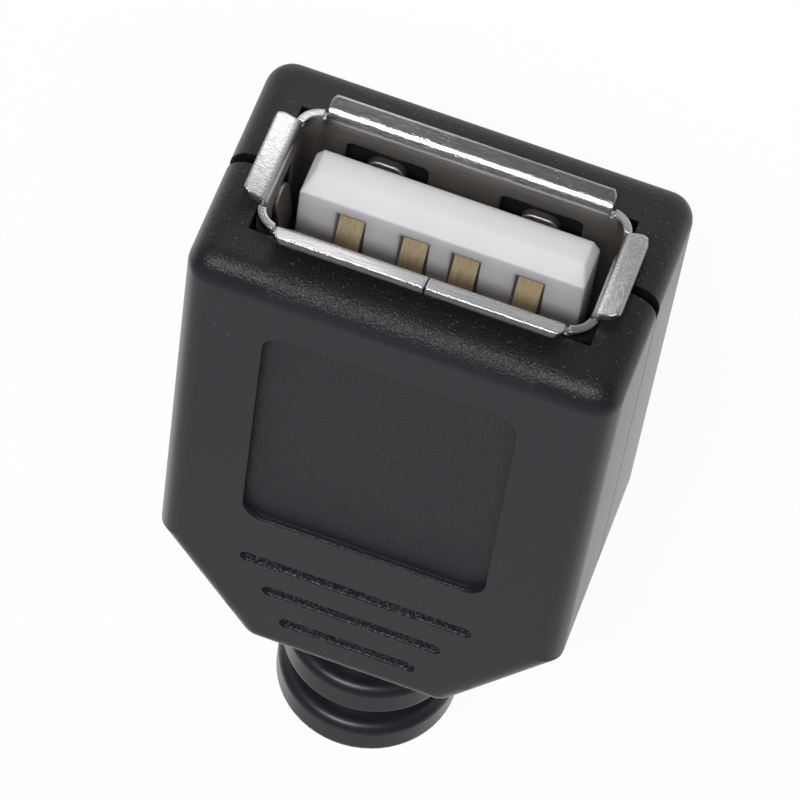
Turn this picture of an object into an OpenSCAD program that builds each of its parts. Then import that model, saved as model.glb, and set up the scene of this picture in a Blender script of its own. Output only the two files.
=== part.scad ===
// Cable-mounted USB type A socket (receptacle) in a two-half plastic housing.
// It lies on one of its two wide faces: X runs across, +Y from the mating face to the cable end and
// +Z up. The origin is the centre of the bounding box's underside. The working frame of the modules
// has the mating face at Y = 0 and the parting plane of the housing at Z = 0.

/* [Housing] */
// Width of the housing across its straight part
body_w = 16.75; // [16.4:0.05:19]
// Thickness over both halves
body_t = 10.2; // [9.6:0.1:12]
// Length of the straight part, from the mating face to the shoulders
straight_l = 19.8; // [18.8:0.1:24]
// Length of the tapered part, from the shoulders to the collar
taper_l = 6.2; // [5.8:0.1:9]
// Width of the housing where the taper meets the collar
tail_w = 8.6; // [7.8:0.1:9.4]
// Radius of all the outer edges and corners
edge_r = 1.05; // [0.6:0.05:1.3]

/* [Inside the housing] */
// Wall thickness round the wiring chamber
wall = 1.4; // [1.2:0.05:1.7]
// Thickness of the stop behind the shield
stop_t = 1.2; // [1:0.1:1.4]
// Height of the passage for the solder tails through that stop
stop_h = 3.4; // [3:0.1:3.8]
// Room beside the outer solder tails in that passage
stop_room = 1.2; // [0.8:0.1:1.4]
// Wall between the wiring chamber and the tail
tail_wall = 1.9; // [1.6:0.1:2.2]
// Distance from the mating face to the keys that hold the shield
key_y = 11; // [9.5:0.1:11.5]
// Length of a key
key_l = 1.6; // [1.2:0.1:2]
// Height of a key
key_h = 1; // [0.8:0.1:1.2]
// Radius of the locating pegs
peg_r = 0.45; // [0.35:0.05:0.5]
// Height of the locating pegs
peg_h = 0.9; // [0.6:0.1:1.2]
// Distance from the mating face to the front pegs
front_peg_y = 5; // [3:0.5:10]
// Distance from the wall of the cable bore to the axis of a rear peg
rear_peg_out = 1.15; // [1.05:0.05:1.3]

/* [Collar] */
// Outer radius of the collar
collar_r = 3.83; // [3.6:0.05:3.9]
// Length of one collar ring
ring_l = 1.95; // [1.5:0.05:2.2]
// Number of collar rings
rings = 3; // [2:1:4]
// Width of the groove between two rings
ring_gap = 1.32; // [1:0.05:1.6]
// Depth of the groove between two rings
ring_depth = 0.9; // [0.5:0.05:1]
// Radius of the soft edges of the rings
ring_edge_r = 0.45; // [0.1:0.05:0.6]
// Radius of the cable bore
cable_r = 2.1; // [1.6:0.05:2.3]
// Distance from the tail to the first cable grip rib
grip_y = 0.4; // [0.2:0.1:0.8]
// Height of the cable grip ribs above the bore wall
grip_h = 0.3; // [0.1:0.05:0.5]
// Thickness of a cable grip rib
grip_l = 0.6; // [0.4:0.1:0.9]
// Distance between the two cable grip ribs
grip_pitch = 1.6; // [1.2:0.1:2]

/* [Wide faces] */
// Width of the shallow panel
panel_w = 9.95; // [8:0.05:12]
// Length of the panel
panel_l = 13.3; // [10:0.1:14]
// Distance from the mating face to the panel
panel_y = 3; // [2:0.05:4]
// Depth of the panel
panel_depth = 0.3; // [0.1:0.05:0.4]
// Corner radius of the panel
panel_r = 1; // [0.4:0.1:2]
// Lengths of the finger grooves, from the wide end of the taper to its narrow end
groove_ls = [9.62, 7.48, 5.74]; // [5:0.02:10]
// Width of a finger groove
groove_w = 0.7; // [0.4:0.05:0.9]
// Depth of a finger groove
groove_depth = 0.45; // [0.2:0.05:0.6]
// Distance between finger grooves
groove_pitch = 2.08; // [1.7:0.02:2.2]
// Distance from the mating face to the first finger groove
groove_y = 19.35; // [18:0.05:20]

/* [Parting line] */
// Width of the open slit beside the socket on the mating face
slit_w = 0.42; // [0.2:0.02:0.6]
// Depth of that slit
slit_depth = 1.2; // [0.4:0.1:1.6]
// Width of the fine line between the halves all round the housing
line_w = 0.08; // [0.04:0.02:0.16]
// Depth of that line
line_depth = 0.06; // [0.03:0.01:0.12]

/* [Shield] */
// Clear width inside the folded shield
mouth_w = 12.5; // [12.4:0.05:12.6]
// Clear height inside the folded shield
mouth_h = 5.12; // [5.02:0.05:5.22]
// Thickness of the sheet
sheet_t = 0.3; // [0.25:0.01:0.35]
// Inner radius of the folded corners
fold_r = 0.7; // [0.51:0.01:0.77]
// Length of the shield behind the mating face
shield_l = 13.4; // [13:0.1:14]
// How far the folded corners stand out of the mating face
corner_out = 0.35; // [0.2:0.05:0.5]
// How far out of the mating face the lips begin to bend
bend_out = 0.15; // [0.05:0.05:0.2]
// Angle by which the lips flare from the walls
lip_angle = 70; // [45:5:80]
// Radius on the hollow side of the lip bend
lip_bend_r = 0.2; // [0.1:0.05:0.3]
// Width of the lips on the wide walls
wide_lip_w = 11.1; // [9:0.1:11.2]
// Flat length of the lips on the wide walls
wide_lip_l = 0.5; // [0.3:0.05:0.7]
// Width of the lips on the side walls
side_lip_w = 3.8; // [3:0.1:3.9]
// Flat length of the lips on the side walls
side_lip_l = 0.65; // [0.3:0.05:0.75]
// Corner radius of the lips
lip_r = 0.45; // [0.2:0.05:0.5]
// Width of the relief cut beside each lip
relief_w = 0.12; // [0.06:0.02:0.2]
// Width of the closed seam in the folded sheet
fold_seam_w = 0.06; // [0.04:0.01:0.1]
// Distance of that seam from the middle of the panel-side wall
fold_seam_x = -0.3; // [-1:0.1:1]

/* [Shield springs] */
// Distance of the wide-wall springs from the middle
spring_x = 3.02; // [2.6:0.02:3.3]
// Width of the windows round the wide-wall springs
window_w = 3.27; // [2.6:0.01:3.4]
// Width of the wide-wall springs
spring_w = 1.55; // [1.2:0.05:1.7]
// Distance from the mating face to the spring windows
window_y = 0.78; // [0.6:0.02:1.2]
// Length of the spring windows
window_l = 5.8; // [5:0.1:6.2]
// Corner radius of the spring windows
window_r = 0.3; // [0.1:0.05:0.4]
// Gap between the free end of a spring and its window
spring_end_gap = 0.65; // [0.4:0.05:0.8]
// How far the springs bow into the mouth
spring_bow = 0.36; // [0.2:0.02:0.45]
// Width of the windows round the side springs
side_window_w = 2.1; // [1.8:0.1:2.4]
// Width of the side springs
side_spring_w = 1.3; // [1:0.1:1.5]
// Share of a spring's length between its crown and its free end
spring_tip_share = 0.45; // [0.35:0.05:0.55]
// Bend radius at the root of a spring
spring_root_r = 2; // [1:0.5:3]
// Bend radius at the crown of a spring
spring_crown_r = 1; // [0.6:0.1:1.4]
// Corner radius of the free end of a spring
spring_tip_r = 0.5; // [0.2:0.05:0.6]

/* [Insulator] */
// Width of the tongue
tongue_w = 11.1; // [11:0.05:11.2]
// Thickness of the tongue
tongue_t = 1.84; // [1.8:0.01:1.88]
// Free length of the tongue
tongue_l = 8.88; // [8.68:0.05:9.08]
// Distance from the mating face to the tongue's end
tongue_y = 0.67; // [0.3:0.01:1]
// Height of the bevel on the contact side of the tongue's end
nose_h = 0.8; // [0.4:0.05:1]
// Length of that bevel
nose_l = 0.35; // [0.2:0.05:0.6]
// Width of the bevels at the two sides of the tongue's end
cheek_w = 0.3; // [0.2:0.02:0.5]
// Length of those side bevels
cheek_l = 0.4; // [0.3:0.05:0.8]
// Distance from the front of the block behind the tongue to the middle of a snap
snap_in = 1.3; // [1:0.1:2]
// Height of the snaps that hold the insulator in the shield
snap_h = 0.24; // [0.1:0.02:0.26]
// Width of a snap
snap_w = 1.6; // [1.2:0.1:2]
// Length of a snap
snap_l = 1.2; // [0.8:0.1:1.4]

/* [Contacts] */
// Spacing of the inner pair of contacts
inner_pitch = 2; // [1.9:0.05:2.1]
// Spacing of an outer contact from its neighbour
outer_pitch = 2.5; // [2.4:0.05:2.6]
// Width of a contact
contact_w = 0.95; // [0.8:0.01:1]
// Thickness of a contact
contact_t = 0.25; // [0.2:0.01:0.3]
// Width of the slots in the tongue
slot_w = 1.18; // [1.1:0.01:1.3]
// Depth of the slots in the tongue
slot_depth = 0.85; // [0.75:0.05:1]
// Distance from the mating face to the slots
slot_y = 1.66; // [1.5:0.01:1.8]
// Depth of a contact's root below the face of the tongue
root_depth = 0.28; // [0.25:0.01:0.35]
// How far the straight root of a contact runs out of the block
root_out = 0.1; // [0.05:0.05:0.2]
// Bend radius between the root and the rising part
root_bend_r = 0.8; // [0.6:0.1:1]
// Angle at which a contact rises out of its slot
rise_angle = 12; // [10:0.5:14]
// Angle at which its free end drops back into the slot
drop_angle = 24; // [20:1:26]
// Length of the rising part
rise_l = 4.2; // [3.8:0.1:4.4]
// Length of the free end
drop_l = 2.4; // [2.2:0.1:2.5]
// Radius of the crown between them
crown_r = 1.5; // [1:0.1:1.8]
// Length of the solder tail behind the insulator
tail_l = 3.2; // [2:0.1:3.6]
// Width of the solder tail
tail_pad_w = 1.4; // [1.1:0.1:1.6]
// Distance from the insulator to the wide part of the solder tail
pad_gap = 0.5; // [0.3:0.1:0.8]

/* [Fits] */
// Gap between the shield and the housing, on each side
shield_gap = 0.04; // [0.02:0.01:0.1]
// Gap between the insulator and the shield, on each side
block_gap = 0.03; // [0.01:0.01:0.05]
// Gap round a contact in the insulator
contact_gap = 0.03; // [0.01:0.01:0.05]
// Gap between a peg and its hole
peg_gap = 0.03; // [0.01:0.01:0.06]
// Gap between a key and its slot in the shield
key_gap = 0.05; // [0.02:0.01:0.1]

/* [Hidden] */
$fn = 48;
EPS = 0.01;
LAP = 0.2;
FAR = 60;

// Housing: the outline seen from the wide face
body_l = straight_l + taper_l;
taper_slope = (body_w - tail_w)/2/taper_l;
taper_angle = atan(taper_slope);
collar_l = rings*ring_l + (rings - 1)*ring_gap;
total_l = body_l + collar_l;

// Housing: the inside
pocket_w = mouth_w + 2*sheet_t + 2*shield_gap;
pocket_h = mouth_h + 2*sheet_t + 2*shield_gap;
pocket_l = shield_l + shield_gap;
stop_w = inner_pitch + 2*outer_pitch + tail_pad_w + 2*stop_room;
chamber_y = pocket_l + stop_t;
chamber_end = body_l - tail_wall;
chamber_h = body_t - 2*wall;
front_peg_x = (body_w + pocket_w)/4;
rear_peg_x = cable_r + rear_peg_out;
rear_peg_y = body_l - tail_wall/2;

// Shield, insulator and contacts
lip_middle_r = lip_bend_r + sheet_t/2;
lip_reach = lip_bend_r*sin(lip_angle) + side_lip_l*cos(lip_angle) + sheet_t*sin(lip_angle);
front_out = bend_out + lip_reach;
block_y = tongue_y + tongue_l;
block_w = mouth_w - 2*block_gap;
block_h = mouth_h - 2*block_gap;
snap_x = spring_x;
snap_y = block_y + snap_in;
contact_xs = [for (s = [-1, 1], x = [inner_pitch/2, inner_pitch/2 + outer_pitch]) s*x];
root_y = block_y - root_out;
tail_end = shield_l + tail_l;

middle_y = (total_l - front_out)/2;

// ---- Helpers ----

function unit(v) = v/norm(v);

// Half-width of the taper at a given Y, moved inwards by inset
function taper_half(y, inset) = tail_w/2 + (body_l - y)*taper_slope - inset/cos(taper_angle);

// Y at which the moved-in straight side meets the moved-in taper
function shoulder_y(inset) =
  body_l - (body_w/2 - inset + inset/cos(taper_angle) - tail_w/2)/taper_slope;

// Corners of one side of the outline, from the mating face to the tail
function side_corners(inset) = [
  [body_w/2 - inset, inset],
  [body_w/2 - inset, shoulder_y(inset)],
  [taper_half(body_l - inset, inset), body_l - inset]
];

// A corner b of a path a, b, c with the fillet r: [centre of the fillet, its two ends, a point outside b]
function corner_points(a, b, c, r) =
  let (u = unit(a - b), v = unit(c - b), half = acos(u*v)/2, inward = unit(u + v))
  [b + inward*r/sin(half), b + u*r/tan(half), b + v*r/tan(half), b - inward*r];

// Closed outline of which half is the right-hand side, from front to back
function both_sides(half) = concat(half, [for (k = [len(half) - 1:-1:0]) [-half[k][0], half[k][1]]]);

// Stations [point, heading] along a bent strip. A move is [length, 0] or [bend radius, angle].
function trail(moves, i = 0, p = [0, 0], h = 0) =
  i == len(moves) ? [[p, h]] :
  let (size = moves[i][0], angle = moves[i][1])
  angle == 0 ? concat([[p, h]], trail(moves, i + 1, p + size*[cos(h), sin(h)], h)) :
  let (
    side = sign(angle)*size,
    centre = p + side*[-sin(h), cos(h)],
    steps = ceil(abs(angle)/6)
  )
  concat(
    [for (k = [0:steps - 1]) let (a = h + angle*k/steps) [centre - side*[-sin(a), cos(a)], a]],
    trail(moves, i + 1, centre - side*[-sin(h + angle), cos(h + angle)], h + angle)
  );

// Flat outline of a bent strip of thickness t
module strip(moves, t) {
  stations = trail(moves);
  left = [for (s = stations) s[0] + t/2*[-sin(s[1]), cos(s[1])]];
  right = [for (s = stations) s[0] - t/2*[-sin(s[1]), cos(s[1])]];
  polygon(concat(left, [for (k = [len(right) - 1:-1:0]) right[k]]));
}

// Rectangle with round corners, centred
module rounded_rect(w, h, r) {
  square([w - 2*r, h], center = true);
  square([w, h - 2*r], center = true);
  for (x = [-1, 1], y = [-1, 1]) translate([x*(w/2 - r), y*(h/2 - r)]) circle(r);
}

// Everything within a corner's fillet ends, out to its outer point
module corner_room(p) polygon([p[3], p[1], p[0], p[2]]);

// Flat shapes drawn in X and Z and run along Y
module along_y(from, to) translate([0, to, 0]) rotate([90, 0, 0]) linear_extrude(to - from) children();

// Flat shapes drawn in Y and Z and run along X, centred
module along_x(w) rotate([90, 0, 90]) translate([0, 0, -w/2]) linear_extrude(w) children();

// ---- Housing ----

// Fillets of the outline's six corners
function fillets(inset) = let (c = both_sides(side_corners(inset)))
  [for (k = [0:5]) corner_points(c[(k + 5)%6], c[k], c[(k + 1)%6], edge_r - inset)];

// Outline of the housing seen from the wide face
module plan_outline(inset = 0) difference() {
  polygon(both_sides(side_corners(inset)));
  for (p = fillets(inset)) difference() {
    corner_room(p);
    translate(p[0]) circle(edge_r - inset);
  }
}

// What the ball-shaped corners take off, above and below
module corner_cuts() for (p = fillets(0), s = [0, 1]) mirror([0, 0, s])
  translate([0, 0, body_t/2 - edge_r]) difference() {
    linear_extrude(2*edge_r) corner_room(p);
    translate(p[0]) sphere(edge_r);
  }

// Space inside the rounded edges along one tapered side
module taper_edges(side)
  translate([side*tail_w/2, body_l, 0]) rotate([0, 0, side*taper_angle])
    along_y(-FAR/2, FAR/2) translate([-side*body_w, 0]) rounded_rect(2*body_w, body_t, edge_r);

// Full outer form of the housing without its collar
module body_form() difference() {
  intersection() {
    linear_extrude(body_t, center = true) plan_outline();
    along_y(-EPS, body_l + EPS) rounded_rect(body_w, body_t, edge_r);
    along_x(body_w + LAP) translate([body_l/2, 0]) rounded_rect(body_l, body_t, edge_r);
    taper_edges(1);
    taper_edges(-1);
  }
  corner_cuts();
}

// Half section of the collar: rings with soft edges on a core
module collar_profile() {
  core_r = collar_r - ring_depth;
  translate([0, -LAP]) square([core_r, collar_l + LAP - ring_edge_r]);
  for (k = [0:rings - 1]) translate([0, k*(ring_l + ring_gap)]) intersection() {
    square([collar_r, ring_l]);
    translate([0, ring_l/2]) rounded_rect(2*collar_r, ring_l, ring_edge_r);
  }
}

module collar()
  translate([0, body_l, 0]) rotate([-90, 0, 0]) rotate_extrude($fn = 96) collar_profile();

// Shallow panel and finger grooves sunk into the upper wide face
module face_cuts() {
  translate([0, panel_y + panel_l/2, body_t/2 - panel_depth])
    linear_extrude(FAR) rounded_rect(panel_w, panel_l, panel_r);
  for (k = [0:len(groove_ls) - 1])
    translate([0, groove_y + k*groove_pitch, body_t/2 - groove_depth])
      linear_extrude(FAR) rounded_rect(groove_ls[k], groove_w, groove_w/2 - EPS);
}

// Room for the receptacle, the solder tails and the wires, on both sides of the parting plane
module inner_room() {
  translate([-pocket_w/2, -1, -pocket_h/2]) cube([pocket_w, pocket_l + 1, pocket_h]);
  translate([-stop_w/2, pocket_l - EPS, -stop_h/2]) cube([stop_w, stop_t + 2*EPS, stop_h]);
  linear_extrude(chamber_h, center = true) intersection() {
    polygon(both_sides(side_corners(wall)));
    translate([-FAR/2, chamber_y]) square([FAR, chamber_end - chamber_y]);
  }
}

// Bore for the cable, narrowed by two grip ribs
module cable_bore() difference() {
  translate([0, chamber_end - EPS, 0]) rotate([-90, 0, 0]) cylinder(r = cable_r, h = FAR);
  for (k = [0, 1]) translate([0, body_l + grip_y + k*grip_pitch, 0]) rotate([-90, 0, 0]) difference() {
    cylinder(r = cable_r + LAP, h = grip_l);
    translate([0, 0, -LAP]) cylinder(r = cable_r - grip_h, h = grip_l + 2*LAP);
  }
}

// Open slit beside the socket and the fine line all round, at the parting plane
module parting_cuts() {
  translate([-FAR/2, -1, -slit_w/2]) cube([FAR, slit_depth + 1, slit_w]);
  linear_extrude(line_w, center = true) difference() {
    translate([-FAR/2, -FAR/2]) square([FAR, FAR/2 + body_l - line_depth]);
    plan_outline(line_depth);
  }
}

// Pegs or peg holes down one side of the housing
module pegs(side, r, h) {
  translate([side*front_peg_x, front_peg_y, 0]) cylinder(r = r, h = h, center = true);
  translate([side*rear_peg_x, rear_peg_y, 0]) cylinder(r = r, h = h, center = true);
}

// Keys that stand in the slots in the side walls of the shield
module keys() for (s = [-1, 1])
  translate([s*(pocket_w/2 + EPS), key_y, key_h/2]) cube([2*(sheet_t + EPS), key_l, key_h], center = true);

// One half of the housing, open downwards, with its pegs on the +X side
module half_shell() {
  difference() {
    intersection() {
      union() {
        body_form();
        collar();
      }
      translate([-FAR/2, -FAR/2, 0]) cube([FAR, 2*FAR, FAR]);
    }
    inner_room();
    cable_bore();
    face_cuts();
    parting_cuts();
    pegs(-1, peg_r + peg_gap, 2*(peg_h + peg_gap));
  }
  keys();
  pegs(1, peg_r, 2*peg_h);
}

module upper_shell() color("#303134") half_shell();

module lower_shell() color("#303134") rotate([0, 180, 0]) half_shell();

// ---- Shield ----

// Lip of one wall: bends off the wall's end and flares outwards, drawn in Y (forwards) and Z (outwards)
module lip(flat_l, w, wall_offset) {
  rise = lip_middle_r*(1 - cos(lip_angle)) + flat_l*sin(lip_angle) + sheet_t/2*cos(lip_angle);
  intersection() {
    translate([0, -bend_out, wall_offset]) along_x(w) mirror([1, 0])
      strip([[EPS, 0], [lip_middle_r, lip_angle], [flat_l, 0]], sheet_t);
    along_y(-FAR/2, FAR/2) translate([0, wall_offset]) rounded_rect(w, 2*(rise + EPS), lip_r);
  }
}

// Window in a wall around a spring, cut straight through in Z
module window(w)
  translate([0, window_y + window_l/2, 0]) linear_extrude(FAR) rounded_rect(w, window_l, window_r);

// Spring finger: rooted at the window's far end, bowed inwards, with a round tip near the mouth
module spring(w, wall_offset) {
  reach = window_l - spring_end_gap;
  tip_l = reach*spring_tip_share;
  slope = atan(spring_bow/(reach - tip_l));
  lift = atan(spring_bow/tip_l);
  bends_l = (spring_root_r*slope + spring_crown_r*(slope + lift))*PI/180;
  root = window_y + window_l;
  intersection() {
    translate([0, root, wall_offset]) along_x(w) mirror([1, 0]) strip([
      [EPS, 0], [spring_root_r, -slope], [reach - tip_l - bends_l/2, 0],
      [spring_crown_r, slope + lift], [tip_l, 0]
    ], sheet_t);
    translate([0, root - (reach - spring_tip_r)/2, 0]) linear_extrude(FAR)
      rounded_rect(w, reach + spring_tip_r, spring_tip_r);
  }
}

// Turns the wall on top (0) to the side it belongs to
module on_wall(k) rotate([0, 90*k, 0]) children();

// Cross-section of the folded box
module fold_section() difference() {
  rounded_rect(mouth_w + 2*sheet_t, mouth_h + 2*sheet_t, fold_r + sheet_t);
  rounded_rect(mouth_w, mouth_h, fold_r);
}

module shield() color("#b8b5ae") {
  middle_h = (mouth_h + sheet_t)/2;
  middle_w = (mouth_w + sheet_t)/2;
  difference() {
    union() {
      along_y(-bend_out, shield_l) fold_section();
      along_y(-corner_out, EPS) difference() {
        fold_section();
        square([wide_lip_w + 2*relief_w, FAR], center = true);
        square([FAR, side_lip_w + 2*relief_w], center = true);
      }
      for (k = [0, 2]) on_wall(k) lip(wide_lip_l, wide_lip_w, middle_h);
      for (k = [1, 3]) on_wall(k) lip(side_lip_l, side_lip_w, middle_w);
    }
    for (k = [0, 2], s = [-1, 1]) on_wall(k) translate([s*spring_x, 0, 0]) window(window_w);
    for (k = [1, 3]) on_wall(k) window(side_window_w);
    for (k = [0, 2], s = [-1, 1]) on_wall(k) translate([s*snap_x, snap_y, 0])
      linear_extrude(FAR) square([snap_w + 2*key_gap, snap_l + 2*key_gap], center = true);
    translate([0, key_y, 0]) cube([FAR, key_l + 2*key_gap, 2*(key_h + key_gap)], center = true);
    translate([fold_seam_x - fold_seam_w/2, -FAR/2, 0]) cube([fold_seam_w, FAR, FAR]);
  }
  for (k = [0, 2], s = [-1, 1]) on_wall(k) translate([s*spring_x, 0, 0]) spring(spring_w, middle_h);
  for (k = [1, 3]) on_wall(k) spring(side_spring_w, middle_w);
}

// ---- Insulator ----

// Side view of the tongue and plan view of its end, combined into its bevelled form
module tongue() intersection() {
  along_x(tongue_w) polygon([
    [tongue_y, -tongue_t], [block_y + 1, -tongue_t], [block_y + 1, 0],
    [tongue_y + nose_l, 0], [tongue_y, -nose_h]
  ]);
  translate([0, 0, -tongue_t - 1]) linear_extrude(tongue_t + 2) polygon([
    [-tongue_w/2 + cheek_w, tongue_y], [tongue_w/2 - cheek_w, tongue_y], [tongue_w/2, tongue_y + cheek_l],
    [tongue_w/2, block_y + 1], [-tongue_w/2, block_y + 1], [-tongue_w/2, tongue_y + cheek_l]
  ]);
}

// Wedge on the block that snaps into its window in the shield
module snap() translate([0, snap_y, block_h/2 - EPS]) along_x(snap_w)
  polygon([[-snap_l/2, 0], [snap_l/2, 0], [snap_l/2, snap_h + EPS], [0, snap_h + EPS]]);

module insulator() color("#e6e8ea") difference() {
  union() {
    tongue();
    along_y(block_y, shield_l) rounded_rect(block_w, block_h, fold_r - block_gap);
    for (k = [0, 2], s = [-1, 1]) on_wall(k) translate([s*snap_x, 0, 0]) snap();
  }
  for (x = contact_xs) {
    translate([x - slot_w/2, slot_y, -slot_depth]) cube([slot_w, block_y - slot_y, FAR]);
    translate([x - contact_w/2 - contact_gap, block_y - EPS, -root_depth - contact_t/2 - contact_gap])
      cube([contact_w + 2*contact_gap, FAR, contact_t + 2*contact_gap]);
  }
}

// ---- Contacts ----

// One contact: solder tail, root through the block, sprung crown and tucked-in free end
module contact(x) color("#b8975a") translate([x, 0, 0]) {
  translate([0, tail_end, -root_depth]) along_x(contact_w) mirror([1, 0]) strip([
    [tail_end - root_y, 0], [root_bend_r, rise_angle], [rise_l, 0],
    [crown_r, -rise_angle - drop_angle], [drop_l, 0]
  ], contact_t);
  translate([-tail_pad_w/2, shield_l + pad_gap, -root_depth - contact_t/2])
    cube([tail_pad_w, tail_l - pad_gap, contact_t]);
}

// ---- Assembly ----

module placed() translate([0, -middle_y, body_t/2]) children();

placed() upper_shell();
placed() lower_shell();
placed() shield();
placed() insulator();
placed() contact(contact_xs[3]);  // contact_1
placed() contact(contact_xs[2]);  // contact_2
placed() contact(contact_xs[0]);  // contact_3
placed() contact(contact_xs[1]);  // contact_4
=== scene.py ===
# A cable-mounted type A socket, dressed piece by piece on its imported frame. Everything is in metres.
import bpy
from mathutils import Matrix, Vector


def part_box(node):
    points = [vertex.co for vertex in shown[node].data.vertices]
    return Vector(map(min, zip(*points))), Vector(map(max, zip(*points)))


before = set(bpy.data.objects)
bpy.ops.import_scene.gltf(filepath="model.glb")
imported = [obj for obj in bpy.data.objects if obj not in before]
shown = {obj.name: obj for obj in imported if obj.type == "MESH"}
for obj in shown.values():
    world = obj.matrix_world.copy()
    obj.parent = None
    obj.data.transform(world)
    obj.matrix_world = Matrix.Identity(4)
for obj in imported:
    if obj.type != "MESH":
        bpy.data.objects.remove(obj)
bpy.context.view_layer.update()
mm = 0.001

# ---- Camera ----
# It looks down on the mating face and the panel face from the front, and is turned so that the
# collar points down.
camera = bpy.data.objects.new("camera", bpy.data.cameras.new("camera"))
camera.data.sensor_width = 36
camera.data.lens = 246.44
camera.data.clip_start = 0.01
camera.data.clip_end = 50
eye = Vector((-0.020624, -0.183899, 0.113195))
picture_right = Vector((-0.939941, -0.087642, -0.329893))
picture_up = Vector((0.326247, -0.514854, -0.792772))
towards_eye = Vector((-0.100367, -0.852786, 0.512525))
turn = Matrix((picture_right, picture_up, towards_eye)).transposed().to_4x4()
camera.matrix_world = Matrix.Translation(eye) @ turn
bpy.context.scene.collection.objects.link(camera)
bpy.context.scene.camera = camera

# ---- Studio ----
# A soft room, brighter at the back than at the front in what gloss shows of it, and one broad lamp
# that shines over the eye on to the mating face.
bpy.context.scene.view_settings.view_transform = "Standard"
room = bpy.data.worlds.new("room")
room.use_nodes = True
nodes, links = room.node_tree.nodes, room.node_tree.links
wall = nodes["Background"]
wall.inputs["Color"].default_value = (1, 1, 1, 1)
ray = nodes.new("ShaderNodeLightPath")
way = nodes.new("ShaderNodeTexCoord")
split = nodes.new("ShaderNodeSeparateXYZ")
gloss = nodes.new("ShaderNodeMapRange")
gloss.inputs["From Min"].default_value = 0.05
gloss.inputs["From Max"].default_value = 0.75
gloss.inputs["To Min"].default_value = 0.12
gloss.inputs["To Max"].default_value = 0.48
plain = nodes.new("ShaderNodeMix")
plain.inputs["A"].default_value = 0.42
clear = nodes.new("ShaderNodeMix")
clear.inputs["B"].default_value = 1
links.new(way.outputs["Generated"], split.inputs["Vector"])
links.new(split.outputs["Y"], gloss.inputs["Value"])
links.new(ray.outputs["Is Glossy Ray"], plain.inputs["Factor"])
links.new(gloss.outputs["Result"], plain.inputs["B"])
links.new(ray.outputs["Is Camera Ray"], clear.inputs["Factor"])
links.new(plain.outputs["Result"], clear.inputs["A"])
links.new(clear.outputs["Result"], wall.inputs["Strength"])
bpy.context.scene.world = room
lamp_place = Vector((0.06, -0.41, 0.315))
lamp_aim = Vector((0, 0, 5 * mm))
lamp = bpy.data.objects.new("key_lamp", bpy.data.lights.new("key_lamp", "AREA"))
lamp.data.shape = "RECTANGLE"
lamp.data.size = 0.2
lamp.data.size_y = 0.06
lamp.data.energy = 1.5
lamp.location = lamp_place
lamp.rotation_euler = (lamp_aim - lamp_place).to_track_quat("-Z", "Y").to_euler()
bpy.context.scene.collection.objects.link(lamp)

# ---- Floor ----
# White paper. It is white to the eye, keeps a faint shadow, and shows in gloss as a paper that
# falls off into the dark towards the front and a little to the -X side.
bpy.ops.mesh.primitive_plane_add(size=6)
floor = bpy.context.object
floor.name = "floor"
paper = bpy.data.materials.new("paper")
paper.use_nodes = True
nodes, links = paper.node_tree.nodes, paper.node_tree.links
nodes.remove(nodes["Principled BSDF"])
matt = nodes.new("ShaderNodeBsdfDiffuse")
matt.inputs["Color"].default_value = (0.8, 0.8, 0.8, 1)
seen = nodes.new("ShaderNodeEmission")
seen.inputs["Strength"].default_value = 1.03
mirrored = nodes.new("ShaderNodeEmission")
ray = nodes.new("ShaderNodeLightPath")
spot = nodes.new("ShaderNodeTexCoord")
split = nodes.new("ShaderNodeSeparateXYZ")
fall = nodes.new("ShaderNodeMapRange")
fall.inputs["From Min"].default_value = -29 * mm
fall.inputs["From Max"].default_value = -8 * mm
fall.inputs["To Min"].default_value = 0.22
fall.inputs["To Max"].default_value = 1.3
fall_aside = nodes.new("ShaderNodeMapRange")
fall_aside.inputs["From Min"].default_value = -9 * mm
fall_aside.inputs["From Max"].default_value = -16 * mm
fall_aside.inputs["To Min"].default_value = 1
fall_aside.inputs["To Max"].default_value = 0.6
lit = nodes.new("ShaderNodeMath")
lit.operation = "MULTIPLY"
# a small round white card on the paper before the mouth, seen in the +X lip
card_middle = (4.6 * mm, -24 * mm, 0)
card_radius = 5 * mm
off = nodes.new("ShaderNodeVectorMath")
off.operation = "SUBTRACT"
off.inputs[1].default_value = card_middle
far = nodes.new("ShaderNodeVectorMath")
far.operation = "LENGTH"
card = nodes.new("ShaderNodeMapRange")
card.inputs["From Min"].default_value = card_radius
card.inputs["From Max"].default_value = card_radius / 2
card.inputs["To Max"].default_value = 1.9
sum_up = nodes.new("ShaderNodeMath")
sum_up.operation = "ADD"
# the eye sees this share of plain white, and the rest is the lit paper with its shadow
white_share = 0.92
share = nodes.new("ShaderNodeMath")
share.operation = "MULTIPLY"
share.inputs[1].default_value = white_share
to_eye = nodes.new("ShaderNodeMixShader")
to_gloss = nodes.new("ShaderNodeMixShader")
links.new(spot.outputs["Object"], split.inputs["Vector"])
links.new(split.outputs["Y"], fall.inputs["Value"])
links.new(split.outputs["X"], fall_aside.inputs["Value"])
links.new(fall.outputs["Result"], lit.inputs[0])
links.new(fall_aside.outputs["Result"], lit.inputs[1])
links.new(spot.outputs["Object"], off.inputs[0])
links.new(off.outputs["Vector"], far.inputs[0])
links.new(far.outputs["Value"], card.inputs["Value"])
links.new(lit.outputs["Value"], sum_up.inputs[0])
links.new(card.outputs["Result"], sum_up.inputs[1])
links.new(sum_up.outputs["Value"], mirrored.inputs["Strength"])
links.new(ray.outputs["Is Camera Ray"], share.inputs[0])
links.new(ray.outputs["Is Glossy Ray"], to_gloss.inputs["Fac"])
links.new(matt.outputs["BSDF"], to_gloss.inputs[1])
links.new(mirrored.outputs["Emission"], to_gloss.inputs[2])
links.new(share.outputs["Value"], to_eye.inputs["Fac"])
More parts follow.
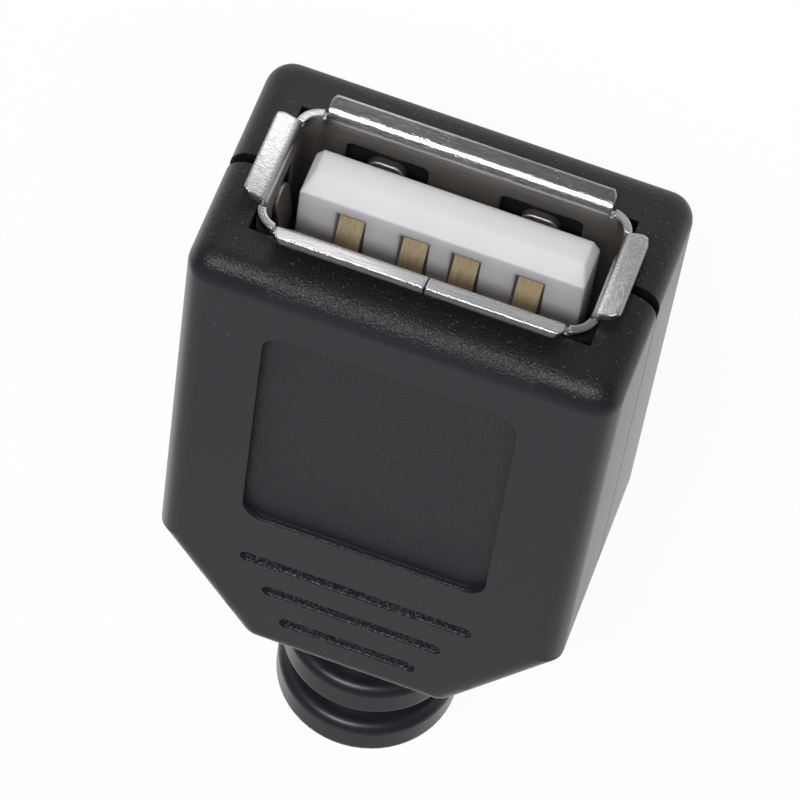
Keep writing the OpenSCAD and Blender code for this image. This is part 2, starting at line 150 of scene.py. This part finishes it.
links.new(to_gloss.outputs["Shader"], to_eye.inputs[1])
links.new(seen.outputs["Emission"], to_eye.inputs[2])
links.new(to_eye.outputs["Shader"], nodes["Material Output"].inputs["Surface"])
floor.data.materials.append(paper)

# ---- Housing ----
# Two injection moulded halves of black ABS, pegged and closed round the socket. The wide faces are
# satin. The mating face, the panel and the grooves keep the grain of the spark-cut mould.


def group(name, inputs, outputs):
    """A new shader node group with these sockets, and its input and output nodes."""
    made = bpy.data.node_groups.new(name, "ShaderNodeTree")
    for title, kind, value in inputs:
        socket = made.interface.new_socket(title, in_out="INPUT", socket_type=kind)
        if value is not None:
            socket.default_value = value
    for title, kind in outputs:
        made.interface.new_socket(title, in_out="OUTPUT", socket_type=kind)
    return made, made.nodes.new("NodeGroupInput"), made.nodes.new("NodeGroupOutput")


# Spark-cut grain: rounded pits of one size, and the few of their rims that catch the light
grain, given, put = group(
    "spark_grain",
    [("Vector", "NodeSocketVector", None),
     ("Scale", "NodeSocketFloat", 9000),
     ("Glints", "NodeSocketFloat", 0.3)],
    [("Height", "NodeSocketFloat"), ("Glint", "NodeSocketFloat")])
nodes, links = grain.nodes, grain.links
pits = nodes.new("ShaderNodeTexNoise")
pits.inputs["Detail"].default_value = 2
pits.inputs["Roughness"].default_value = 0.6
rims = nodes.new("ShaderNodeTexVoronoi")
chance = nodes.new("ShaderNodeSeparateColor")
lucky = nodes.new("ShaderNodeMath")
lucky.operation = "LESS_THAN"
near = nodes.new("ShaderNodeMapRange")
near.inputs["From Min"].default_value = 0.34
near.inputs["From Max"].default_value = 0.12
both = nodes.new("ShaderNodeMath")
both.operation = "MULTIPLY"
links.new(given.outputs["Vector"], pits.inputs["Vector"])
links.new(given.outputs["Scale"], pits.inputs["Scale"])
links.new(given.outputs["Vector"], rims.inputs["Vector"])
links.new(given.outputs["Scale"], rims.inputs["Scale"])
links.new(rims.outputs["Color"], chance.inputs["Color"])
links.new(chance.outputs["Red"], lucky.inputs[0])
links.new(given.outputs["Glints"], lucky.inputs[1])
links.new(rims.outputs["Distance"], near.inputs["Value"])
links.new(near.outputs["Result"], both.inputs[0])
links.new(lucky.outputs["Value"], both.inputs[1])
links.new(pits.outputs["Fac"], put.inputs["Height"])
links.new(both.outputs["Value"], put.inputs["Glint"])

# Broken edge: the surface turned smoothly over a small edge radius, and how near that edge is
broken, given, put = group(
    "broken_edge",
    [("Radius", "NodeSocketFloat", 0.04 * mm)],
    [("Normal", "NodeSocketVector"), ("Edge", "NodeSocketFloat")])
nodes, links = broken.nodes, broken.links
round_off = nodes.new("ShaderNodeBevel")
round_off.samples = 6
flat = nodes.new("ShaderNodeNewGeometry")
apart = nodes.new("ShaderNodeVectorMath")
apart.operation = "DOT_PRODUCT"
edge = nodes.new("ShaderNodeMapRange")
edge.inputs["From Min"].default_value = 0.99
edge.inputs["From Max"].default_value = 0.8
links.new(given.outputs["Radius"], round_off.inputs["Radius"])
links.new(round_off.outputs["Normal"], apart.inputs[0])
links.new(flat.outputs["Normal"], apart.inputs[1])
links.new(apart.outputs["Value"], edge.inputs["Value"])
links.new(round_off.outputs["Normal"], put.inputs["Normal"])
links.new(edge.outputs["Result"], put.inputs["Edge"])


def place(material, made, **values):
    """Puts a node group into a material with its own values."""
    node = material.node_tree.nodes.new("ShaderNodeGroup")
    node.node_tree = made
    for title, value in values.items():
        node.inputs[title].default_value = value
    return node


def dress(material, *names):
    """Gives these pieces this material and no other."""
    for name in names:
        shown[name].data.materials.clear()
        shown[name].data.materials.append(material)


low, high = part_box("upper_shell")
black = bpy.data.materials.new("black_abs")
black.use_nodes = True
nodes, links = black.node_tree.nodes, black.node_tree.links
skin = nodes["Principled BSDF"]
spot = nodes.new("ShaderNodeTexCoord")
split = nodes.new("ShaderNodeSeparateXYZ")
links.new(spot.outputs["Object"], split.inputs["Vector"])
# the mating face and the front of the edge round it
mating = nodes.new("ShaderNodeMapRange")
mating.inputs["From Min"].default_value = low[1] + 0.55 * mm
mating.inputs["From Max"].default_value = low[1] + 0.25 * mm
links.new(split.outputs["Y"], mating.inputs["Value"])
# the sunk panel and the grooves of both wide faces, measured from the middle plane: within their
# half width, up to the end of the last groove and below the wide face. The middle of the rounded
# front edge lies within the same bounds, so it takes the same grain.
middle = low[2]
wide_face = high[2] - middle
sunk_half = 5.2 * mm
sunk_end = 7.2 * mm
lift = nodes.new("ShaderNodeMath")
lift.operation = "SUBTRACT"
lift.inputs[1].default_value = middle
away = nodes.new("ShaderNodeMath")
away.operation = "ABSOLUTE"
sunk = nodes.new("ShaderNodeMapRange")
sunk.inputs["From Min"].default_value = wide_face - 0.06 * mm
sunk.inputs["From Max"].default_value = wide_face - 0.12 * mm
side = nodes.new("ShaderNodeMath")
side.operation = "ABSOLUTE"
inside = nodes.new("ShaderNodeMath")
inside.operation = "LESS_THAN"
inside.inputs[1].default_value = sunk_half
before = nodes.new("ShaderNodeMath")
before.operation = "LESS_THAN"
before.inputs[1].default_value = sunk_end
bounded = nodes.new("ShaderNodeMath")
bounded.operation = "MULTIPLY"
hollow = nodes.new("ShaderNodeMath")
hollow.operation = "MULTIPLY"
links.new(split.outputs["Z"], lift.inputs[0])
links.new(lift.outputs["Value"], away.inputs[0])
links.new(away.outputs["Value"], sunk.inputs["Value"])
links.new(split.outputs["X"], side.inputs[0])
links.new(side.outputs["Value"], inside.inputs[0])
links.new(sunk.outputs["Result"], hollow.inputs[0])
links.new(split.outputs["Y"], before.inputs[0])
links.new(inside.outputs["Value"], bounded.inputs[0])
links.new(before.outputs["Value"], bounded.inputs[1])
links.new(bounded.outputs["Value"], hollow.inputs[1])
coarse = place(black, grain, Scale=9500, Glints=0.06)
fine = place(black, grain, Scale=7000, Glints=0.006)
links.new(spot.outputs["Object"], coarse.inputs["Vector"])
links.new(spot.outputs["Object"], fine.inputs["Vector"])
# grain depth: full on the mating face, a little more in the sunk parts, a trace elsewhere
depth = nodes.new("ShaderNodeMapRange")
depth.inputs["To Min"].default_value = 0.05
depth.inputs["To Max"].default_value = 1.3
links.new(hollow.outputs["Value"], depth.inputs["Value"])
deepest = nodes.new("ShaderNodeMath")
deepest.operation = "MAXIMUM"
links.new(depth.outputs["Result"], deepest.inputs[0])
links.new(mating.outputs["Result"], deepest.inputs[1])
height = nodes.new("ShaderNodeMath")
height.operation = "MULTIPLY"
links.new(coarse.outputs["Height"], height.inputs[0])
links.new(deepest.outputs["Value"], height.inputs[1])
rounded = place(black, broken, Radius=0.05 * mm)
bump = nodes.new("ShaderNodeBump")
bump.inputs["Strength"].default_value = 0.8
bump.inputs["Distance"].default_value = 0.05 * mm
links.new(height.outputs["Value"], bump.inputs["Height"])
links.new(rounded.outputs["Normal"], bump.inputs["Normal"])
links.new(bump.outputs["Normal"], skin.inputs["Normal"])
# painted glints: light grey specks on the mating face, where the rims of the spark grain catch the
# light
painted_sparkle = nodes.new("ShaderNodeMath")
painted_sparkle.operation = "MULTIPLY"
links.new(coarse.outputs["Glint"], painted_sparkle.inputs[0])
links.new(mating.outputs["Result"], painted_sparkle.inputs[1])
# painted glints in the grooves, which lie behind the panel: their rough walls catch more light than
# its floor does
behind_panel = 1 * mm
groove = nodes.new("ShaderNodeMath")
groove.operation = "GREATER_THAN"
groove.inputs[1].default_value = behind_panel
in_groove = nodes.new("ShaderNodeMath")
in_groove.operation = "MULTIPLY"
wall_sparkle = nodes.new("ShaderNodeMapRange")
wall_sparkle.inputs["From Min"].default_value = 0.45
wall_sparkle.inputs["From Max"].default_value = 0.7
wall_sparkle.inputs["To Max"].default_value = 0.7
painted_wall_sparkle = nodes.new("ShaderNodeMath")
painted_wall_sparkle.operation = "MULTIPLY"
painted_glints = nodes.new("ShaderNodeMath")
painted_glints.operation = "MAXIMUM"
links.new(split.outputs["Y"], groove.inputs[0])
links.new(groove.outputs["Value"], in_groove.inputs[0])
links.new(hollow.outputs["Value"], in_groove.inputs[1])
links.new(coarse.outputs["Height"], wall_sparkle.inputs["Value"])
links.new(wall_sparkle.outputs["Result"], painted_wall_sparkle.inputs[0])
links.new(in_groove.outputs["Value"], painted_wall_sparkle.inputs[1])
links.new(painted_sparkle.outputs["Value"], painted_glints.inputs[0])
links.new(painted_wall_sparkle.outputs["Value"], painted_glints.inputs[1])
# and a few lighter specks all over
glints_and_specks = nodes.new("ShaderNodeMath")
glints_and_specks.operation = "MAXIMUM"
links.new(painted_glints.outputs["Value"], glints_and_specks.inputs[0])
links.new(fine.outputs["Glint"], glints_and_specks.inputs[1])
# the light grey of the painted glints and of the specks
shade = nodes.new("ShaderNodeMix")
shade.data_type = "RGBA"
shade.inputs["B"].default_value = (0.12, 0.128, 0.14, 1)
# the black of the satin faces, and a darker black painted as shade on the mating face
pigment_and_painted_shade = nodes.new("ShaderNodeMix")
pigment_and_painted_shade.data_type = "RGBA"
pigment_and_painted_shade.inputs["A"].default_value = (0.0145, 0.0165, 0.022, 1)
pigment_and_painted_shade.inputs["B"].default_value = (0.008, 0.0088, 0.011, 1)
# painted shade: the walls of the pocket round the shield are given the same darker black as the mating
# face, and with them the middle of the side faces as far back as the pocket goes
pocket_half = 3.6 * mm
pocket_end = 2.9 * mm
deep = nodes.new("ShaderNodeMath")
deep.operation = "LESS_THAN"
deep.inputs[1].default_value = pocket_half
front = nodes.new("ShaderNodeMath")
front.operation = "LESS_THAN"
front.inputs[1].default_value = pocket_end
pocket = nodes.new("ShaderNodeMath")
pocket.operation = "MULTIPLY"
painted_shade_mask = nodes.new("ShaderNodeMath")
painted_shade_mask.operation = "MAXIMUM"
links.new(away.outputs["Value"], deep.inputs[0])
links.new(split.outputs["Y"], front.inputs[0])
links.new(deep.outputs["Value"], pocket.inputs[0])
links.new(front.outputs["Value"], pocket.inputs[1])
links.new(pocket.outputs["Value"], painted_shade_mask.inputs[0])
links.new(mating.outputs["Result"], painted_shade_mask.inputs[1])
links.new(painted_shade_mask.outputs["Value"], pigment_and_painted_shade.inputs["Factor"])
links.new(pigment_and_painted_shade.outputs["Result"], shade.inputs["A"])
links.new(glints_and_specks.outputs["Value"], shade.inputs["Factor"])
links.new(shade.outputs["Result"], skin.inputs["Base Color"])
# the satin is a little polished, the grain is dull
dull = nodes.new("ShaderNodeMapRange")
dull.inputs["To Min"].default_value = 0.36
dull.inputs["To Max"].default_value = 0.42
links.new(deepest.outputs["Value"], dull.inputs["Value"])
links.new(dull.outputs["Result"], skin.inputs["Roughness"])
dress(black, "upper_shell", "lower_shell")

# ---- Shield ----
# One sheet of steel, folded to a box with flared lips and sprung windows, then nickel plated.
# The rolls leave fine lines in the sheet, and the press leaves a burr along its cut edges, which
# carries a painted highlight.
scratches, given, put = group(
    "rolled_lines",
    [("Vector", "NodeSocketVector", None), ("Stretch", "NodeSocketVector", (600, 12000, 12000))],
    [("Line", "NodeSocketFloat")])
nodes, links = scratches.nodes, scratches.links
pull = nodes.new("ShaderNodeVectorMath")
pull.operation = "MULTIPLY"
drawn = nodes.new("ShaderNodeTexNoise")
drawn.inputs["Scale"].default_value = 1
drawn.inputs["Detail"].default_value = 3
links.new(given.outputs["Vector"], pull.inputs[0])
links.new(given.outputs["Stretch"], pull.inputs[1])
links.new(pull.outputs["Vector"], drawn.inputs["Vector"])
links.new(drawn.outputs["Fac"], put.inputs["Line"])

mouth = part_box("shield")[0]
nickel = bpy.data.materials.new("nickel_plate")
nickel.use_nodes = True
nodes, links = nickel.node_tree.nodes, nickel.node_tree.links
skin = nodes["Principled BSDF"]
skin.inputs["Metallic"].default_value = 1
spot = nodes.new("ShaderNodeTexCoord")
split = nodes.new("ShaderNodeSeparateXYZ")
links.new(spot.outputs["Object"], split.inputs["Vector"])
# one at the lips, nothing from 1.1 mm behind their front on
flared = nodes.new("ShaderNodeMapRange")
flared.inputs["From Min"].default_value = mouth[1] + 1.1 * mm
flared.inputs["From Max"].default_value = mouth[1] + 0.6 * mm
links.new(split.outputs["Y"], flared.inputs["Value"])
lines = place(nickel, scratches, Stretch=(900, 14000, 14000))
links.new(spot.outputs["Object"], lines.inputs["Vector"])
frost = place(nickel, grain, Scale=17000)
links.new(spot.outputs["Object"], frost.inputs["Vector"])
burr = place(nickel, broken, Radius=0.13 * mm)
nick = nodes.new("ShaderNodeTexNoise")
nick.inputs["Scale"].default_value = 3500
links.new(spot.outputs["Object"], nick.inputs["Vector"])
ragged_edge_highlight = nodes.new("ShaderNodeMath")
ragged_edge_highlight.operation = "MULTIPLY"
links.new(burr.outputs["Edge"], ragged_edge_highlight.inputs[0])
links.new(nick.outputs["Fac"], ragged_edge_highlight.inputs[1])
# painted shade: behind the lips the metal is given a darker, warmer grey than at them
tone = nodes.new("ShaderNodeMix")
tone.data_type = "RGBA"
tone.inputs["A"].default_value = (0.4, 0.365, 0.345, 1)
tone.inputs["B"].default_value = (0.52, 0.515, 0.52, 1)
links.new(flared.outputs["Result"], tone.inputs["Factor"])
streak = nodes.new("ShaderNodeMapRange")
streak.inputs["From Min"].default_value = 0.3
streak.inputs["From Max"].default_value = 0.7
streak.inputs["To Min"].default_value = 0.85
streak.inputs["To Max"].default_value = 1.12
links.new(lines.outputs["Line"], streak.inputs["Value"])
streaked = nodes.new("ShaderNodeVectorMath")
streaked.operation = "SCALE"
links.new(tone.outputs["Result"], streaked.inputs[0])
links.new(streak.outputs["Result"], streaked.inputs["Scale"])
# painted highlight: a near-white colour along the burr of the cut edges, broken up by noise
painted_edge_highlight = nodes.new("ShaderNodeMix")
painted_edge_highlight.data_type = "RGBA"
painted_edge_highlight.inputs["B"].default_value = (0.95, 0.94, 0.94, 1)
links.new(ragged_edge_highlight.outputs["Value"], painted_edge_highlight.inputs["Factor"])
links.new(streaked.outputs["Vector"], painted_edge_highlight.inputs["A"])
links.new(painted_edge_highlight.outputs["Result"], skin.inputs["Base Color"])
satin = nodes.new("ShaderNodeMapRange")
satin.inputs["To Min"].default_value = 0.46
satin.inputs["To Max"].default_value = 0.19
links.new(flared.outputs["Result"], satin.inputs["Value"])
links.new(satin.outputs["Result"], skin.inputs["Roughness"])
relief = nodes.new("ShaderNodeMath")
relief.operation = "MULTIPLY"
links.new(frost.outputs["Height"], relief.inputs[0])
links.new(flared.outputs["Result"], relief.inputs[1])
line_depth = 0.35
whole = nodes.new("ShaderNodeMath")
whole.operation = "MULTIPLY_ADD"
whole.inputs[1].default_value = line_depth
links.new(lines.outputs["Line"], whole.inputs[0])
links.new(relief.outputs["Value"], whole.inputs[2])
bump = nodes.new("ShaderNodeBump")
bump.inputs["Strength"].default_value = 0.7
bump.inputs["Distance"].default_value = 0.017 * mm
links.new(whole.outputs["Value"], bump.inputs["Height"])
links.new(burr.outputs["Normal"], bump.inputs["Normal"])
links.new(bump.outputs["Normal"], skin.inputs["Normal"])
dress(nickel, "shield")

# ---- Insulator ----
# One white moulding of glass-filled nylon with the slots for the contacts. Light sinks a little way
# into it, its edges are soft, and its tone and gloss are slightly uneven.
nylon = bpy.data.materials.new("white_nylon")
nylon.use_nodes = True
nodes, links = nylon.node_tree.nodes, nylon.node_tree.links
skin = nodes["Principled BSDF"]
skin.inputs["Subsurface Weight"].default_value = 0.5
skin.inputs["Subsurface Radius"].default_value = (1, 0.95, 0.9)
skin.inputs["Subsurface Scale"].default_value = 3.2 * mm
spot = nodes.new("ShaderNodeTexCoord")
cloud = nodes.new("ShaderNodeTexNoise")
cloud.inputs["Scale"].default_value = 500
cloud.inputs["Detail"].default_value = 4
tone = nodes.new("ShaderNodeMix")
tone.data_type = "RGBA"
tone.inputs["A"].default_value = (0.77, 0.785, 0.8, 1)
tone.inputs["B"].default_value = (0.83, 0.84, 0.85, 1)
links.new(spot.outputs["Object"], cloud.inputs["Vector"])
links.new(cloud.outputs["Fac"], tone.inputs["Factor"])
links.new(tone.outputs["Result"], skin.inputs["Base Color"])
satin = nodes.new("ShaderNodeMapRange")
satin.inputs["To Min"].default_value = 0.35
satin.inputs["To Max"].default_value = 0.55
links.new(cloud.outputs["Fac"], satin.inputs["Value"])
links.new(satin.outputs["Result"], skin.inputs["Roughness"])
fibre = place(nylon, grain, Scale=9000)
links.new(spot.outputs["Object"], fibre.inputs["Vector"])
rounded = place(nylon, broken, Radius=0.18 * mm)
bump = nodes.new("ShaderNodeBump")
bump.inputs["Strength"].default_value = 0.25
bump.inputs["Distance"].default_value = 0.004 * mm
links.new(fibre.outputs["Height"], bump.inputs["Height"])
links.new(rounded.outputs["Normal"], bump.inputs["Normal"])
links.new(bump.outputs["Normal"], skin.inputs["Normal"])
dress(nylon, "insulator")

# ---- Contacts ----
# Four strips of phosphor bronze, stamped, bent to a sprung crown and flashed with gold. Rolling
# lines run along them, and the sheared edges carry a painted highlight.
gilt = bpy.data.materials.new("gilt_bronze")
gilt.use_nodes = True
nodes, links = gilt.node_tree.nodes, gilt.node_tree.links
skin = nodes["Principled BSDF"]
skin.inputs["Metallic"].default_value = 0.45
spot = nodes.new("ShaderNodeTexCoord")
lines = place(gilt, scratches, Stretch=(16000, 900, 3000))
links.new(spot.outputs["Object"], lines.inputs["Vector"])
sheared = place(gilt, broken, Radius=0.09 * mm)
tone = nodes.new("ShaderNodeMix")
tone.data_type = "RGBA"
tone.inputs["A"].default_value = (0.5, 0.37, 0.2, 1)
tone.inputs["B"].default_value = (1, 0.84, 0.54, 1)
links.new(lines.outputs["Line"], tone.inputs["Factor"])
# painted highlight: a light gold colour along the sheared edges
painted_edge_highlight = nodes.new("ShaderNodeMix")
painted_edge_highlight.data_type = "RGBA"
painted_edge_highlight.inputs["B"].default_value = (1, 0.93, 0.74, 1)
links.new(sheared.outputs["Edge"], painted_edge_highlight.inputs["Factor"])
links.new(tone.outputs["Result"], painted_edge_highlight.inputs["A"])
links.new(painted_edge_highlight.outputs["Result"], skin.inputs["Base Color"])
satin = nodes.new("ShaderNodeMapRange")
satin.inputs["To Min"].default_value = 0.22
satin.inputs["To Max"].default_value = 0.42
links.new(lines.outputs["Line"], satin.inputs["Value"])
links.new(satin.outputs["Result"], skin.inputs["Roughness"])
bump = nodes.new("ShaderNodeBump")
bump.inputs["Strength"].default_value = 0.6
bump.inputs["Distance"].default_value = 0.006 * mm
links.new(lines.outputs["Line"], bump.inputs["Height"])
links.new(sheared.outputs["Normal"], bump.inputs["Normal"])
links.new(bump.outputs["Normal"], skin.inputs["Normal"])
dress(gilt, *(f"contact_{k}" for k in range(1, 5)))
